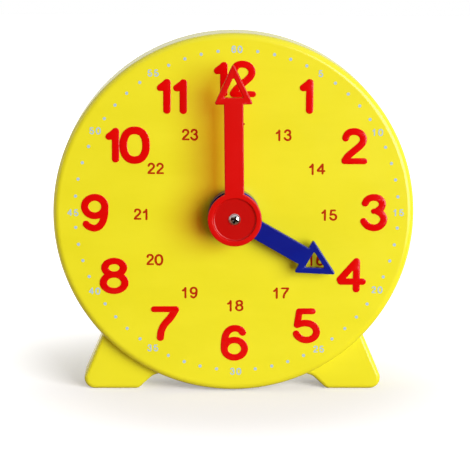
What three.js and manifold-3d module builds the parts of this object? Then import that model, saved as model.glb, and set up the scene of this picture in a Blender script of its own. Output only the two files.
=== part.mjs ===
// Geared teaching clock with a yellow dial on two moulded feet, in millimetres with +Z up.
// The dial faces -Y. A depth is a distance behind the dial face, so what stands in front of it is negative.
// Turns are in degrees clockwise, as the clock is read, from twelve o'clock.
import * as THREE from 'three';
import { mergeVertices } from 'three/addons/utils/BufferGeometryUtils.js';
import Module from 'manifold-3d';

const wasm = await Module();
wasm.setup();

// Case
const dialRadius = 50;
const rimFillet = 2.2;
const faceThickness = 2.2;
const caseWall = 2;
const coverThickness = 2.4;
const coverFillet = 0.8;
const seamGap = 0.15;
const lipHeight = 1.6;
const lipThickness = 1.4;
const lipClearance = 0.25;

// Feet
const footSetback = 4;
const footDrop = 0.5;
const heelTurn = 40.6;
const heelLeanAngle = 23;
const toeTurn = 27.7;
const heelRadius = 3;
const footFillet = 1.2;
const toeRadius = 2.2;
const waistTurn = 25.75;
const waistHeight = 3.65;
const waistRadius = 3;
const archTurn = 13.7;
const footRoot = 6;

// Ribs behind the dial
const ribCount = 6;
const ribThickness = 1.2;
const ribHeight = 1.3;
const ribClearance = 2;

// Case screws
const screwRadius = 1.15;
const screwLength = 6.5;
const screwHeadRadius = 2.3;
const screwHeadHeight = 1.3;
const screwSink = 0.2;
const screwClearance = 0.1;
const pilotSpare = 0.4;
const bossRadius = 2.7;
const bossInset = 0.8;
const wellClearance = 0.5;
const drumScrewTurns = [45, 135, 225, 315];
const footScrewHeight = 5.6;
const recessWidth = 0.55;
const recessSpanShare = 0.6;
const recessDepthShare = 0.6;
const crownShare = 0.35;

// Hands
const handThickness = 2;
const handFillet = 0.3;
const handCornerRadius = 0.45;
const armWidth = 5.2;
const headWidth = 10.6;
const borderWidth = 1.7;
const sillWidth = 1.85;
const minuteTurn = -0.85;
const minuteLength = 42.35;
const minuteHeadLength = 10.7;
const minuteHubRadius = 7.35;
const minuteHubHeight = 4.8;
const minuteDishRadius = 5.9;
const minuteDishDepth = 0.8;
const minuteDishFillet = 0.6;
const minuteWeb = 1.3;
const hourTurn = 119.8;
const hourLength = 32.2;
const hourHeadLength = 9.9;
const hourHubRadius = 7.2;
const hourHubHeight = 4;
const hourHubGap = 0.4;
const handGap = 0.6;
const handScrewRadius = 0.9;
const handScrewLength = 5;
const handScrewHeadRadius = 1.68;
const handScrewHeadHeight = 1.2;

// Arbor and hour pipe
const arborRadius = 2.5;
const arborFlat = 1.9;
const arborCollarRadius = 3.6;
const arborCollarThickness = 0.5;
const pipeWall = 1.25;
const pipeEndGap = 0.4;
const fitClearance = 0.1;
const runningClearance = 0.1;
const endPlay = 0.2;

// Gears
const centreDistance = 20;
const pressureAngle = 20;
const profileShiftShare = 0.5;
const addendumShare = 0.8;
const dedendumShare = 1.1;
const backlash = 0.25;
const minutePinionTeeth = 10;
const firstWheelTeeth = 30;
const secondPinionTeeth = 8;
const hourWheelTeeth = 32;
const idlerTurn = 180;
const hourWheelWidth = 2.8;
const minutePinionWidth = 3;
const firstWheelWidth = 2.4;
const gearRim = 1.6;
const gearWeb = 1.2;
const gearHubWall = 2;
const minutePinionHubRadius = 4;
const frontTubeHeight = 1.2;
const rearTubeHeight = 1.3;
const tubeWall = 2;

// Idler pin and friction washer
const pinRadius = 1.25;
const pinSeat = 0.8;
const pinBossWall = 1.4;
const washerThickness = 0.3;
const washerWave = 0.3;
const washerWidth = 1.3;
const washerWaves = 3;

// Knob
const knobRadius = 11;
const knobHeight = 7;
const knobGap = 0.4;
const knobFillet = 0.9;
const knobFlutes = 18;
const knobFluteDepth = 0.6;
const knobWeb = 1.2;
const knobScrewRadius = 1.15;
const knobScrewLength = 6;
const knobScrewHeadRadius = 2.3;
const knobScrewHeadHeight = 1.3;
const knobScrewSink = 0.6;

// How far a cutting tool runs past the face that it cuts
const overrun = 1;

// Facets
const caseSteps = 72;
const roundSteps = 24;
const smallSteps = 16;
const filletSteps = 3;
const cornerSteps = 4;
const flankSteps = 3;
const waveSteps = 36;
const fluteSteps = 4;

// Places worked out from the sizes above
const gearModule = 2 * centreDistance / (minutePinionTeeth + firstWheelTeeth);
const pipeBore = arborRadius + runningClearance;
const pipeRadius = pipeBore + pipeWall;
const frontTubeBore = pipeRadius + runningClearance;
const frontTubeEnd = faceThickness + frontTubeHeight;
const hourWheelFront = frontTubeEnd + endPlay;
const hourWheelRear = hourWheelFront + hourWheelWidth;
const collarFront = hourWheelRear + endPlay;
const collarRear = collarFront + arborCollarThickness;
const minutePinionFront = collarRear + fitClearance;
const minutePinionRear = minutePinionFront + minutePinionWidth;
const firstWheelFront = (minutePinionFront + minutePinionRear - firstWheelWidth) / 2;
const firstWheelRear = firstWheelFront + firstWheelWidth;
const washerFront = minutePinionRear + fitClearance;
const washerHeight = 2 * washerWave + washerThickness;
const rearTubeFront = washerFront + washerHeight + fitClearance;
const rearTubeBore = minutePinionHubRadius + runningClearance;

const coverFront = rearTubeFront + rearTubeHeight;
const caseDepth = coverFront + coverThickness;
const housingEnd = coverFront - seamGap;
const innerRadius = dialRadius - caseWall;
const lipOuter = innerRadius - lipClearance;
const lipInner = lipOuter - lipThickness;
const ground = -(dialRadius + footDrop);
const heel = -ground * tangent(heelTurn);
const toe = -ground * tangent(toeTurn);
const waist = -(ground + waistHeight) * tangent(waistTurn);

const wellRadius = screwHeadRadius + wellClearance;
const screwSeat = caseDepth - screwHeadHeight - screwSink;
const pilotFront = screwSeat - screwLength - pilotSpare;
const drumScrewCircle = lipInner - bossRadius - bossInset;
const footScrewZ = ground + footScrewHeight;
const footScrewInset = (wellRadius + caseWall) / cosine(heelLeanAngle);
const footScrewX = heel - footScrewHeight * tangent(heelLeanAngle) - footScrewInset;

const knobFront = caseDepth + knobGap;
const knobRear = knobFront + knobHeight;
const knobSeat = knobRear - knobScrewHeadHeight - knobScrewSink;
const knobSocketEnd = knobSeat - knobWeb;
const arborRear = knobSocketEnd - fitClearance;

const hourFront = -(hourHubGap + hourHubHeight);
const pipeFront = hourFront + pipeEndGap;
const minuteHubRear = hourFront - handGap;
const minuteFront = minuteHubRear - minuteHubHeight;
const dishFloor = minuteFront + minuteDishDepth;
const minuteSocketFront = dishFloor + minuteWeb;
const arborFront = minuteSocketFront + fitClearance;

function sine(degrees) {
  return Math.sin(THREE.MathUtils.degToRad(degrees));
}

function cosine(degrees) {
  return Math.cos(THREE.MathUtils.degToRad(degrees));
}

function tangent(degrees) {
  return sine(degrees) / cosine(degrees);
}

// Point of the dial plane at a radius and a clockwise turn, as [x, z].
function polar(radius, turn) {
  return [radius * sine(turn), radius * cosine(turn)];
}

// Solids and meshes

function signedVolume(vertices, triangles) {
  const [a, b, c] = [new THREE.Vector3(), new THREE.Vector3(), new THREE.Vector3()];
  let volume = 0;
  for (let i = 0; i < triangles.length; i += 3) {
    a.fromArray(vertices, 3 * triangles[i]);
    b.fromArray(vertices, 3 * triangles[i + 1]);
    c.fromArray(vertices, 3 * triangles[i + 2]);
    volume += a.dot(b.cross(c)) / 6;
  }
  return volume;
}

// A closed three.js geometry as a solid that can be joined and cut.
function solidOf(geometry) {
  const bare = geometry.clone();
  bare.deleteAttribute('normal');
  bare.deleteAttribute('uv');
  const merged = mergeVertices(bare);
  const vertices = new Float32Array(merged.attributes.position.array);
  const triangles = [];
  for (let i = 0; i < merged.index.count; i += 3) {
    const [a, b, c] = [0, 1, 2].map((corner) => merged.index.getX(i + corner));
    if (a !== b && b !== c && c !== a) triangles.push(a, b, c);
  }
  if (signedVolume(vertices, triangles) < 0) triangles.reverse();
  return new wasm.Manifold(new wasm.Mesh({
    numProp: 3,
    vertProperties: vertices,
    triVerts: new Uint32Array(triangles),
  }));
}

function geometryOf(solid) {
  const { vertProperties, triVerts } = solid.getMesh();
  const geometry = new THREE.BufferGeometry();
  geometry.setAttribute('position', new THREE.BufferAttribute(vertProperties, 3));
  geometry.setIndex(new THREE.BufferAttribute(triVerts, 1));
  const faceted = geometry.toNonIndexed();
  faceted.computeVertexNormals();
  return faceted;
}

function piece(name, solid, material) {
  const mesh = new THREE.Mesh(geometryOf(solid), material);
  mesh.name = name;
  return mesh;
}

function joined(solids) {
  return solids.reduce((whole, solid) => whole.add(solid));
}

function cut(solid, tools) {
  return tools.reduce((rest, tool) => rest.subtract(tool), solid);
}

// Turned forms about the clock's axis, from a profile of [radius, depth] points
function turned(profile, steps = roundSteps) {
  const points = profile.map(([radius, depth]) => new THREE.Vector2(radius, depth));
  return solidOf(new THREE.LatheGeometry(points, steps));
}

function rod(radius, front, rear, steps = roundSteps) {
  return turned([[0, front], [radius, front], [radius, rear], [0, rear]], steps);
}

function tube(inner, outer, front, rear, steps = roundSteps) {
  return turned([[inner, front], [outer, front], [outer, rear], [inner, rear], [inner, front]], steps);
}

// Profile points of a quarter fillet round [radius, depth], from one direction in degrees to another.
function filletPoints(radius, depth, fillet, from, to) {
  return Array.from({ length: filletSteps + 1 }, (_, step) => {
    const angle = from + (to - from) * step / filletSteps;
    return [radius + fillet * cosine(angle), depth + fillet * sine(angle)];
  });
}

// Plates: an outline of [x, z] points carried from a front depth to a rear depth, both edges filleted alike
function plate(outline, front, rear, fillet = 0, holes = []) {
  const shape = new THREE.Shape(outline.map(([x, z]) => new THREE.Vector2(x, z)));
  shape.holes = holes.map((hole) => new THREE.Path(hole.map(([x, z]) => new THREE.Vector2(x, z))));
  const geometry = new THREE.ExtrudeGeometry(shape, {
    depth: rear - front - 2 * fillet,
    bevelEnabled: fillet > 0,
    bevelThickness: fillet,
    bevelSize: fillet,
    bevelOffset: -fillet,
    bevelSegments: filletSteps,
  });
  geometry.rotateX(Math.PI / 2);
  geometry.translate(0, rear - fillet, 0);
  return solidOf(geometry);
}

// Outline through corners [x, z, radius], each rounded by an arc of its radius.
function rounded(corners) {
  return corners.flatMap(([x, z, radius], index) => {
    const corner = new THREE.Vector2(x, z);
    if (!radius) return [[x, z]];
    const [before, after] = [-1, 1].map((side) => {
      const [nextX, nextZ] = corners[(index + side + corners.length) % corners.length];
      return new THREE.Vector2(nextX, nextZ).sub(corner).normalize();
    });
    const half = Math.acos(before.dot(after)) / 2;
    const reach = radius / Math.tan(half);
    const middle = before.clone().add(after).normalize();
    const centre = corner.clone().addScaledVector(middle, radius / Math.sin(half));
    const start = before.multiplyScalar(reach).add(corner).sub(centre);
    const end = after.multiplyScalar(reach).add(corner).sub(centre);
    const sweep = Math.atan2(start.cross(end), start.dot(end));
    return Array.from({ length: cornerSteps + 1 }, (_, step) => {
      const point = start.clone().rotateAround(new THREE.Vector2(), sweep * step / cornerSteps);
      return [centre.x + point.x, centre.y + point.y];
    });
  });
}

// Corners [x, z, radius] moved inwards by a distance, rounded so that the wall in between stays even.
function inset(corners, distance) {
  const points = corners.map(([x, z]) => new THREE.Vector2(x, z));
  const inward = THREE.ShapeUtils.isClockWise(points) ? -1 : 1;
  return points.map((point, index) => {
    const last = points[(index + points.length - 1) % points.length];
    const next = points[(index + 1) % points.length];
    const before = point.clone().sub(last).normalize();
    const after = next.clone().sub(point).normalize();
    const normal = new THREE.Vector2(-before.y - after.y, before.x + after.x).normalize();
    const stretch = normal.dot(new THREE.Vector2(-before.y, before.x));
    const shifted = point.clone().addScaledVector(normal, inward * distance / stretch);
    const outward = inward * before.cross(after) > 0;
    const radius = corners[index][2] + (outward ? -distance : distance);
    return [shifted.x, shifted.y, corners[index][2] && Math.max(radius, 0)];
  });
}

function moved(solid, [x, z]) {
  return solid.translate(x, 0, z);
}

// Round bar with a flat on each side, turned so that the flats face left and right.
function flattedOutline(radius, flat) {
  const edge = THREE.MathUtils.radToDeg(Math.acos(flat / radius));
  const side = [];
  for (let step = 0; step <= smallSteps / 2; step += 1) {
    side.push(polar(radius, -90 + edge + (180 - 2 * edge) * step / (smallSteps / 2)));
  }
  return [...side, ...side.map(([x, z]) => [-x, -z])];
}

function flattedRod(radius, flat, front, rear) {
  return plate(flattedOutline(radius, flat), front, rear);
}

// Case

// The right foot's corners, from its root in the drum down the heel, along the ground and up the arch.
function footCorners() {
  const hidden = dialRadius - footRoot;
  const rise = heelRise(hidden);
  return [
    [...polar(hidden, 180 - archTurn), 0],
    [heel - rise * tangent(heelLeanAngle), ground + rise, 0],
    [heel, ground, heelRadius],
    [toe, ground, toeRadius],
    [waist, ground + waistHeight, waistRadius],
  ];
}

// Height over the ground at which the heel's slant meets a circle round the dial's centre.
function heelRise(radius) {
  const slope = tangent(heelLeanAngle);
  const square = 1 + slope ** 2;
  const half = heel * slope - ground;
  const rest = heel ** 2 + ground ** 2 - radius ** 2;
  return (half - Math.sqrt(half ** 2 - square * rest)) / square;
}

// Both feet's outlines, or the outlines of their hollows inside a wall.
function footOutlines(wall = 0) {
  const right = rounded(inset(footCorners(), wall));
  return [right, right.map(([x, z]) => [-x, z])];
}

// Feet from a front depth to a rear depth, with the fillet kept on one side only.
function feet(front, rear, fillet, filletInFront) {
  const past = filletInFront ? [front, rear + fillet] : [front - fillet, rear];
  const trim = filletInFront ? [rear, rear + fillet + overrun] : [front - fillet - overrun, front];
  const trimmer = rod(dialRadius + heel, ...trim, caseSteps);
  return footOutlines().map((outline) => plate(outline, ...past, fillet).subtract(trimmer));
}

function footPockets(front, rear) {
  const drum = rod(dialRadius, front - overrun, rear + overrun, caseSteps);
  return footOutlines(caseWall).map((outline) => plate(outline, front, rear).subtract(drum));
}

const screwPlaces = [
  ...drumScrewTurns.map((turn) => polar(drumScrewCircle, turn)),
  [footScrewX, footScrewZ],
  [-footScrewX, footScrewZ],
];

function boss(place, radius, front, rear) {
  return moved(rod(radius, front, rear, smallSteps), place);
}

const idlerPlace = polar(centreDistance, idlerTurn);
const pinBossRadius = pinRadius + fitClearance + pinBossWall;
const pinBossFront = frontTubeEnd - endPlay;
const pinBossRear = firstWheelRear + endPlay;

function frontHousing() {
  const rim = filletPoints(dialRadius - rimFillet, rimFillet, rimFillet, -90, 0);
  const drum = turned([[0, 0], ...rim, [dialRadius, housingEnd], [0, housingEnd]], caseSteps);
  const shell = cut(joined([drum, ...feet(footSetback, housingEnd, footFillet, true)]), [
    rod(innerRadius, faceThickness, housingEnd + overrun, caseSteps),
    ...footPockets(footSetback + caseWall, housingEnd + overrun),
  ]);
  const bosses = screwPlaces.map((place) => {
    const inFoot = Math.hypot(...place) > dialRadius;
    const seat = inFoot ? footSetback + caseWall / 2 : faceThickness / 2;
    return boss(place, bossRadius, seat, housingEnd);
  });
  const solid = joined([
    shell,
    ...ribs(),
    ...bosses,
    rod(frontTubeBore + tubeWall, faceThickness / 2, frontTubeEnd),
    boss(idlerPlace, pinBossRadius, faceThickness / 2, pinBossFront),
  ]);
  return cut(solid, [
    rod(frontTubeBore, -overrun, frontTubeEnd + overrun),
    boss(idlerPlace, pinRadius + fitClearance, faceThickness - pinSeat, housingEnd),
    ...screwPlaces.map((place) => boss(place, screwRadius + screwClearance, pilotFront, caseDepth)),
  ]);
}

// Ribs that stiffen the dial from behind, from outside the hour wheel to the drum wall.
function ribs() {
  const start = gearTipRadius(hourWheelTeeth, -1) + ribClearance;
  const end = innerRadius + caseWall / 2;
  const front = faceThickness / 2;
  const rear = faceThickness + ribHeight;
  return Array.from({ length: ribCount }, (_, index) => {
    const rib = new THREE.BoxGeometry(ribThickness, rear - front, end - start);
    rib.translate(0, (front + rear) / 2, (start + end) / 2);
    rib.rotateY(THREE.MathUtils.degToRad(360 * (index + 0.5) / ribCount));
    return solidOf(rib);
  });
}

function rearCover() {
  const edge = filletPoints(dialRadius - coverFillet, caseDepth - coverFillet, coverFillet, 0, 90);
  const disc = turned([[0, coverFront], [dialRadius, coverFront], ...edge, [0, caseDepth]], caseSteps);
  const solid = joined([
    disc,
    ...feet(coverFront, caseDepth, coverFillet, false),
    tube(lipInner, lipOuter, coverFront - lipHeight, coverFront + coverThickness / 2, caseSteps),
    rod(rearTubeBore + tubeWall, rearTubeFront, coverFront + coverThickness / 2),
    boss(idlerPlace, pinBossRadius, pinBossRear, coverFront + coverThickness / 2),
  ]);
  return cut(solid, [
    rod(rearTubeBore, rearTubeFront - overrun, caseDepth + overrun),
    boss(idlerPlace, pinRadius + fitClearance, pinBossRear - overrun, coverFront + pinSeat),
    ...screwPlaces.map((place) => boss(place, wellRadius, screwSeat, caseDepth + overrun)),
    ...screwPlaces.map((place) => boss(place, screwRadius + screwClearance, coverFront - overrun, caseDepth)),
  ]);
}

// Cross-head screw whose head's flat side lies at a seat depth. It points towards the dial or, with
// pointing -1, away from it.
function screw({ radius, length, headRadius, headHeight, seat, pointing }) {
  const crown = headHeight * crownShare;
  const outline = [
    [0, -headHeight],
    [headRadius - crown, -headHeight],
    [headRadius, crown - headHeight],
    [headRadius, 0],
    [radius, 0],
    [radius, length - radius],
    [0, length],
  ];
  const body = turned(outline.map(([r, depth]) => [r, seat - pointing * depth]), smallSteps);
  const span = 2 * headRadius * recessSpanShare;
  const recessDepth = headHeight * recessDepthShare;
  const arms = [[span, recessWidth], [recessWidth, span]].map(([width, height]) => {
    const arm = new THREE.BoxGeometry(width, recessDepth + overrun, height);
    arm.translate(0, seat + pointing * (headHeight + (overrun - recessDepth) / 2), 0);
    return solidOf(arm);
  });
  return cut(body, arms);
}

// Gears

// Gear with involute flanks, one tooth of it centred on twelve o'clock. Pinions have a positive shift
// and wheels a negative one, so that small tooth counts run without undercut.
function gearOutline(teeth, side, turn = 0) {
  const pitch = gearModule * teeth / 2;
  const base = pitch * cosine(pressureAngle);
  const tip = gearTipRadius(teeth, side);
  const root = gearRootRadius(teeth, side);
  const shift = side * profileShiftShare * gearModule;
  const thickness = gearModule * Math.PI / 2 + 2 * shift * tangent(pressureAngle) - backlash / 2;
  const halfAtBase = thickness / (2 * pitch) + involute(pressureAngle);
  const flankStart = Math.max(base, root);
  const flank = Array.from({ length: flankSteps + 1 }, (_, step) => {
    const radius = flankStart + (tip - flankStart) * step / flankSteps;
    const angle = THREE.MathUtils.radToDeg(Math.acos(Math.min(1, base / radius)));
    return [radius, THREE.MathUtils.radToDeg(halfAtBase - involute(angle))];
  });
  if (root < base) flank.unshift([root, flank[0][1]]);
  const outline = [];
  for (let tooth = 0; tooth < teeth; tooth += 1) {
    const middle = turn + 360 * tooth / teeth;
    flank.forEach(([radius, half]) => outline.push(polar(radius, middle - half)));
    flank.toReversed().forEach(([radius, half]) => outline.push(polar(radius, middle + half)));
  }
  return outline;
}

function involute(degrees) {
  return tangent(degrees) - THREE.MathUtils.degToRad(degrees);
}

function gearTipRadius(teeth, side) {
  return gearModule * (teeth / 2 + addendumShare + side * profileShiftShare);
}

function gearRootRadius(teeth, side) {
  return gearModule * (teeth / 2 - dedendumShare + side * profileShiftShare);
}

// Turn of a gear that is driven in mesh, for centres that lie on a line at a clockwise turn from the driver.
function meshedTurn(driverTurn, driverTeeth, drivenTeeth, lineTurn) {
  const gapOnLine = lineTurn + 180 + 180 / drivenTeeth;
  return gapOnLine - (driverTurn - lineTurn) * driverTeeth / drivenTeeth;
}

// Ring-shaped hollows that leave a thin web between a gear's hub and its rim.
function webHollows(hub, rim, front, rear) {
  const sink = (rear - front - gearWeb) / 2;
  return [
    tube(hub, rim, front - overrun, front + sink),
    tube(hub, rim, rear - sink, rear + overrun),
  ];
}

function hourWheel() {
  const hub = pipeRadius + gearHubWall;
  const rim = gearRootRadius(hourWheelTeeth, -1) - gearRim;
  const wheel = plate(gearOutline(hourWheelTeeth, -1, -hourTurn), hourWheelFront, hourWheelRear);
  const webbed = cut(wheel, webHollows(hub, rim, hourWheelFront, hourWheelRear));
  const solid = webbed.add(rod(pipeRadius, pipeFront, hourWheelRear));
  return solid.subtract(rod(pipeBore, pipeFront - overrun, hourWheelRear + overrun));
}

function minutePinion() {
  const teeth = plate(gearOutline(minutePinionTeeth, 1), minutePinionFront, minutePinionRear);
  const hub = rod(minutePinionHubRadius, minutePinionFront, caseDepth);
  return teeth.add(hub).subtract(socket(minutePinionFront - overrun, caseDepth + overrun));
}

function intermediateGear() {
  const wheelTurn = meshedTurn(minuteTurn, minutePinionTeeth, firstWheelTeeth, idlerTurn);
  const pinionTurn = meshedTurn(0, hourWheelTeeth, secondPinionTeeth, idlerTurn);
  const front = frontTubeEnd;
  const hub = gearTipRadius(secondPinionTeeth, 1) + gearHubWall / 2;
  const rim = gearRootRadius(firstWheelTeeth, -1) - gearRim;
  const wheel = plate(gearOutline(firstWheelTeeth, -1, wheelTurn), firstWheelFront, firstWheelRear);
  const webbed = cut(wheel, webHollows(hub, rim, firstWheelFront, firstWheelRear));
  const pinion = plate(
    gearOutline(secondPinionTeeth, 1, pinionTurn),
    front,
    firstWheelFront + firstWheelWidth / 2,
  );
  return cut(webbed.add(pinion), [
    rod(pinRadius + runningClearance, front - overrun, firstWheelRear + overrun, smallSteps),
  ]);
}

function idlerPin() {
  const seat = pinSeat - fitClearance;
  return rod(pinRadius, faceThickness - seat, coverFront + seat, smallSteps);
}

function centreArbor() {
  const solid = joined([
    flattedRod(arborRadius, arborFlat, arborFront, arborRear),
    rod(arborRadius, minuteHubRear + fitClearance, collarRear),
    rod(arborCollarRadius, collarFront, collarRear),
  ]);
  const handPilotEnd = dishFloor + handScrewLength + pilotSpare;
  const knobPilotEnd = knobSeat - knobScrewLength - pilotSpare;
  return cut(solid, [
    rod(handScrewRadius + screwClearance, arborFront - overrun, handPilotEnd, smallSteps),
    rod(knobScrewRadius + screwClearance, knobPilotEnd, arborRear + overrun, smallSteps),
  ]);
}

// Washer bent into an even wave, so that it presses on both neighbours.
function frictionWasher() {
  const inner = rearTubeBore;
  const outer = inner + washerWidth;
  const middle = washerFront + washerHeight / 2;
  const corners = [[inner, -1], [outer, -1], [outer, 1], [inner, 1]];
  const vertices = [];
  const triangles = [];
  for (let step = 0; step < waveSteps; step += 1) {
    const turn = 360 * step / waveSteps;
    const wave = middle + washerWave * cosine(washerWaves * turn);
    corners.forEach(([radius, side], index) => {
      const [x, z] = polar(radius, turn);
      vertices.push(x, wave + side * washerThickness / 2, z);
      const here = corners.length * step;
      const there = corners.length * ((step + 1) % waveSteps);
      const next = (index + 1) % corners.length;
      triangles.push(here + index, there + index, there + next);
      triangles.push(here + index, there + next, here + next);
    });
  }
  const geometry = new THREE.BufferGeometry();
  geometry.setAttribute('position', new THREE.Float32BufferAttribute(vertices, 3));
  geometry.setIndex(triangles);
  return solidOf(geometry);
}

// Hands and knob

// Arrow-headed arm that points to twelve, and the window in its head.
function arrow(length, headLength) {
  const base = length - headLength;
  const half = headWidth / 2;
  const slope = Math.hypot(half, headLength) / half;
  const tip = length + handCornerRadius * (slope - 1);
  const outline = rounded([
    [armWidth / 2, 0, 0],
    [armWidth / 2, base, 0],
    [half, base, handCornerRadius],
    [0, tip, handCornerRadius],
    [-half, base, handCornerRadius],
    [-armWidth / 2, base, 0],
    [-armWidth / 2, 0, 0],
  ]);
  const sill = base + sillWidth;
  const peak = tip - borderWidth * slope;
  const windowHalf = half * (peak - sill) / (tip - base);
  return { outline, window: [[windowHalf, sill], [0, peak], [-windowHalf, sill]] };
}

function hand({ front, length, headLength }) {
  const { outline, window } = arrow(length, headLength);
  return plate(outline, front, front + handThickness, handFillet, [window]);
}

function minuteHand() {
  const hub = turned([
    [0, minuteFront],
    [minuteHubRadius - handFillet, minuteFront],
    [minuteHubRadius, minuteFront + handFillet],
    [minuteHubRadius, minuteHubRear],
    [0, minuteHubRear],
  ]);
  const dishWall = minuteDishRadius - minuteDishFillet;
  const dish = turned([
    [0, dishFloor],
    ...filletPoints(dishWall, dishFloor - minuteDishFillet, minuteDishFillet, 90, 0),
    [minuteDishRadius, minuteFront - overrun],
    [0, minuteFront - overrun],
  ]);
  const arm = hand({ front: minuteFront, length: minuteLength, headLength: minuteHeadLength });
  return cut(hub.add(arm), [
    dish,
    rod(handScrewRadius + screwClearance, minuteFront, minuteHubRear, smallSteps),
    socket(minuteSocketFront, minuteHubRear + overrun),
  ]);
}

function hourHand() {
  const hub = rod(hourHubRadius, hourFront, -hourHubGap);
  const arm = hand({ front: hourFront, length: hourLength, headLength: hourHeadLength });
  return hub.add(arm).subtract(rod(pipeRadius + fitClearance, hourFront - overrun, overrun));
}

// Hole for an end of the arbor.
function socket(front, rear) {
  return flattedRod(arborRadius + fitClearance, arborFlat + fitClearance, front, rear);
}

function settingKnob() {
  const steps = knobFlutes * fluteSteps;
  const outline = Array.from({ length: steps }, (_, step) => {
    const wave = (1 + cosine(360 * step / fluteSteps)) / 2;
    return polar(knobRadius - knobFluteDepth * wave, 360 * step / steps);
  });
  return cut(plate(outline, knobFront, knobRear, knobFillet), [
    socket(knobFront - overrun, knobSocketEnd),
    rod(knobScrewRadius + screwClearance, knobFront, knobRear, smallSteps),
    rod(knobScrewHeadRadius + wellClearance, knobSeat, knobRear + overrun, smallSteps),
  ]);
}

// Finishes

function finish(color, roughness, metalness = 0) {
  return new THREE.MeshStandardMaterial({ color, roughness, metalness });
}

const yellowPlastic = finish(0xeee22d, 0.25);
const redPlastic = finish(0xd71914, 0.3);
const bluePlastic = finish(0x232091, 0.35);
const whitePlastic = finish(0xe9e6da, 0.45);
const zincSteel = finish(0xc9ccd0, 0.3, 1);
const springSteel = finish(0x9fa3a8, 0.35, 1);

// Assembly

const clock = new THREE.Group();
clock.position.set(0, -(minuteFront + knobRear) / 2, -ground);

clock.add(piece('front_housing', frontHousing(), yellowPlastic));
clock.add(piece('rear_cover', rearCover(), yellowPlastic));

screwPlaces.forEach(([x, z], index) => {
  const caseScrew = piece(`case_screw_${index + 1}`, screw({
    radius: screwRadius,
    length: screwLength,
    headRadius: screwHeadRadius,
    headHeight: screwHeadHeight,
    seat: screwSeat,
    pointing: 1,
  }), zincSteel);
  caseScrew.position.set(x, 0, z);
  clock.add(caseScrew);
});

const [idlerX, idlerZ] = idlerPlace;
const idler = new THREE.Group();
idler.position.set(idlerX, 0, idlerZ);
idler.add(piece('idler_pin', idlerPin(), zincSteel));
idler.add(piece('intermediate_gear', intermediateGear(), whitePlastic));
clock.add(idler);

const minuteTrain = new THREE.Group();
minuteTrain.rotation.y = THREE.MathUtils.degToRad(minuteTurn);
minuteTrain.add(piece('minute_hand', minuteHand(), redPlastic));
minuteTrain.add(piece('hand_screw', screw({
  radius: handScrewRadius,
  length: handScrewLength,
  headRadius: handScrewHeadRadius,
  headHeight: handScrewHeadHeight,
  seat: dishFloor,
  pointing: -1,
}), zincSteel));
minuteTrain.add(piece('centre_arbor', centreArbor(), whitePlastic));
minuteTrain.add(piece('minute_pinion', minutePinion(), whitePlastic));
minuteTrain.add(piece('setting_knob', settingKnob(), yellowPlastic));
minuteTrain.add(piece('knob_screw', screw({
  radius: knobScrewRadius,
  length: knobScrewLength,
  headRadius: knobScrewHeadRadius,
  headHeight: knobScrewHeadHeight,
  seat: knobSeat,
  pointing: 1,
}), zincSteel));
clock.add(minuteTrain);

const hourTrain = new THREE.Group();
hourTrain.rotation.y = THREE.MathUtils.degToRad(hourTurn);
hourTrain.add(piece('hour_hand', hourHand(), bluePlastic));
hourTrain.add(piece('hour_wheel', hourWheel(), whitePlastic));
clock.add(hourTrain);

clock.add(piece('friction_washer', frictionWasher(), springSteel));

export default clock;
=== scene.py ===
"""Looks of a hand-set geared teaching clock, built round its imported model.

Forms are made in the clock's own millimetres: x to the right as the dial is read, depth behind the
dial's face, and z up from the axis of the hands. Turns are in degrees clockwise from twelve o'clock.
"""

import logging
import math
from dataclasses import dataclass
from enum import Enum
from functools import cache
from typing import Callable, Iterable, Sequence

import bmesh
import bpy
import numpy as np
from bpy.types import Material, Mesh, Node, Object, World
from mathutils import Matrix, Vector


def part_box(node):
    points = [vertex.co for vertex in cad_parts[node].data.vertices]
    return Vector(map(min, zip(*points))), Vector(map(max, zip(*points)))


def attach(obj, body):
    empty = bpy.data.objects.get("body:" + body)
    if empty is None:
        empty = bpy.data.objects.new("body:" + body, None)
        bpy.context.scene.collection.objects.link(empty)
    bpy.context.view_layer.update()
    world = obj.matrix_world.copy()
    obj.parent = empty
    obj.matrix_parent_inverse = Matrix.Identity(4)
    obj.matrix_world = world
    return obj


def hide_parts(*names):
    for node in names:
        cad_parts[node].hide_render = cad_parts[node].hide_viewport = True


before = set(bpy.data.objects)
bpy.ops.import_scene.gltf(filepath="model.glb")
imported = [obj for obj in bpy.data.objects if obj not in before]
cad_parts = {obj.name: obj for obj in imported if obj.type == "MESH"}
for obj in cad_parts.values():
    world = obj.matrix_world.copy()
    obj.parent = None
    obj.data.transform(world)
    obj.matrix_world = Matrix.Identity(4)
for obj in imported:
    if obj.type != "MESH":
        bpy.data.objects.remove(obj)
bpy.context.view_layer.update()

Point = tuple[float, float]
Outline = list[Point]
Triple = tuple[float, float, float]
Colour = Triple
Stroke = tuple[Point, Outline]

log = logging.getLogger("teaching_clock")

MM = 0.001
MERGE = 1e-5
SHARP = math.radians(32)
DIAL_RADIUS = 50.0
LOW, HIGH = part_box("front_housing")
CENTRE = Vector((0, LOW.y / MM, HIGH.z / MM - DIAL_RADIUS))
CASE_SCREWS = [f"case_screw_{index}" for index in range(1, 7)]
SCREW_HOLE = 1.25
SCREW_HEAD = 1.3


def depths(node: str) -> Point:
    """Depths of a node's front and rear."""
    return tuple((corner / MM - CENTRE).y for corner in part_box(node))


def middle(node: str) -> Point:
    """Middle of a node in the dial plane."""
    low, high = (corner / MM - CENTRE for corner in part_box(node))
    return (low.x + high.x) / 2, (low.z + high.z) / 2


def polar(radius: float, turn: float) -> Point:
    """Point of the dial plane at a radius and a clockwise turn."""
    angle = math.radians(turn)
    return radius * math.sin(angle), radius * math.cos(angle)


# Forms


class Way(Enum):
    """How one form works on another."""

    JOIN = "UNION"
    CUT = "DIFFERENCE"


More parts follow.
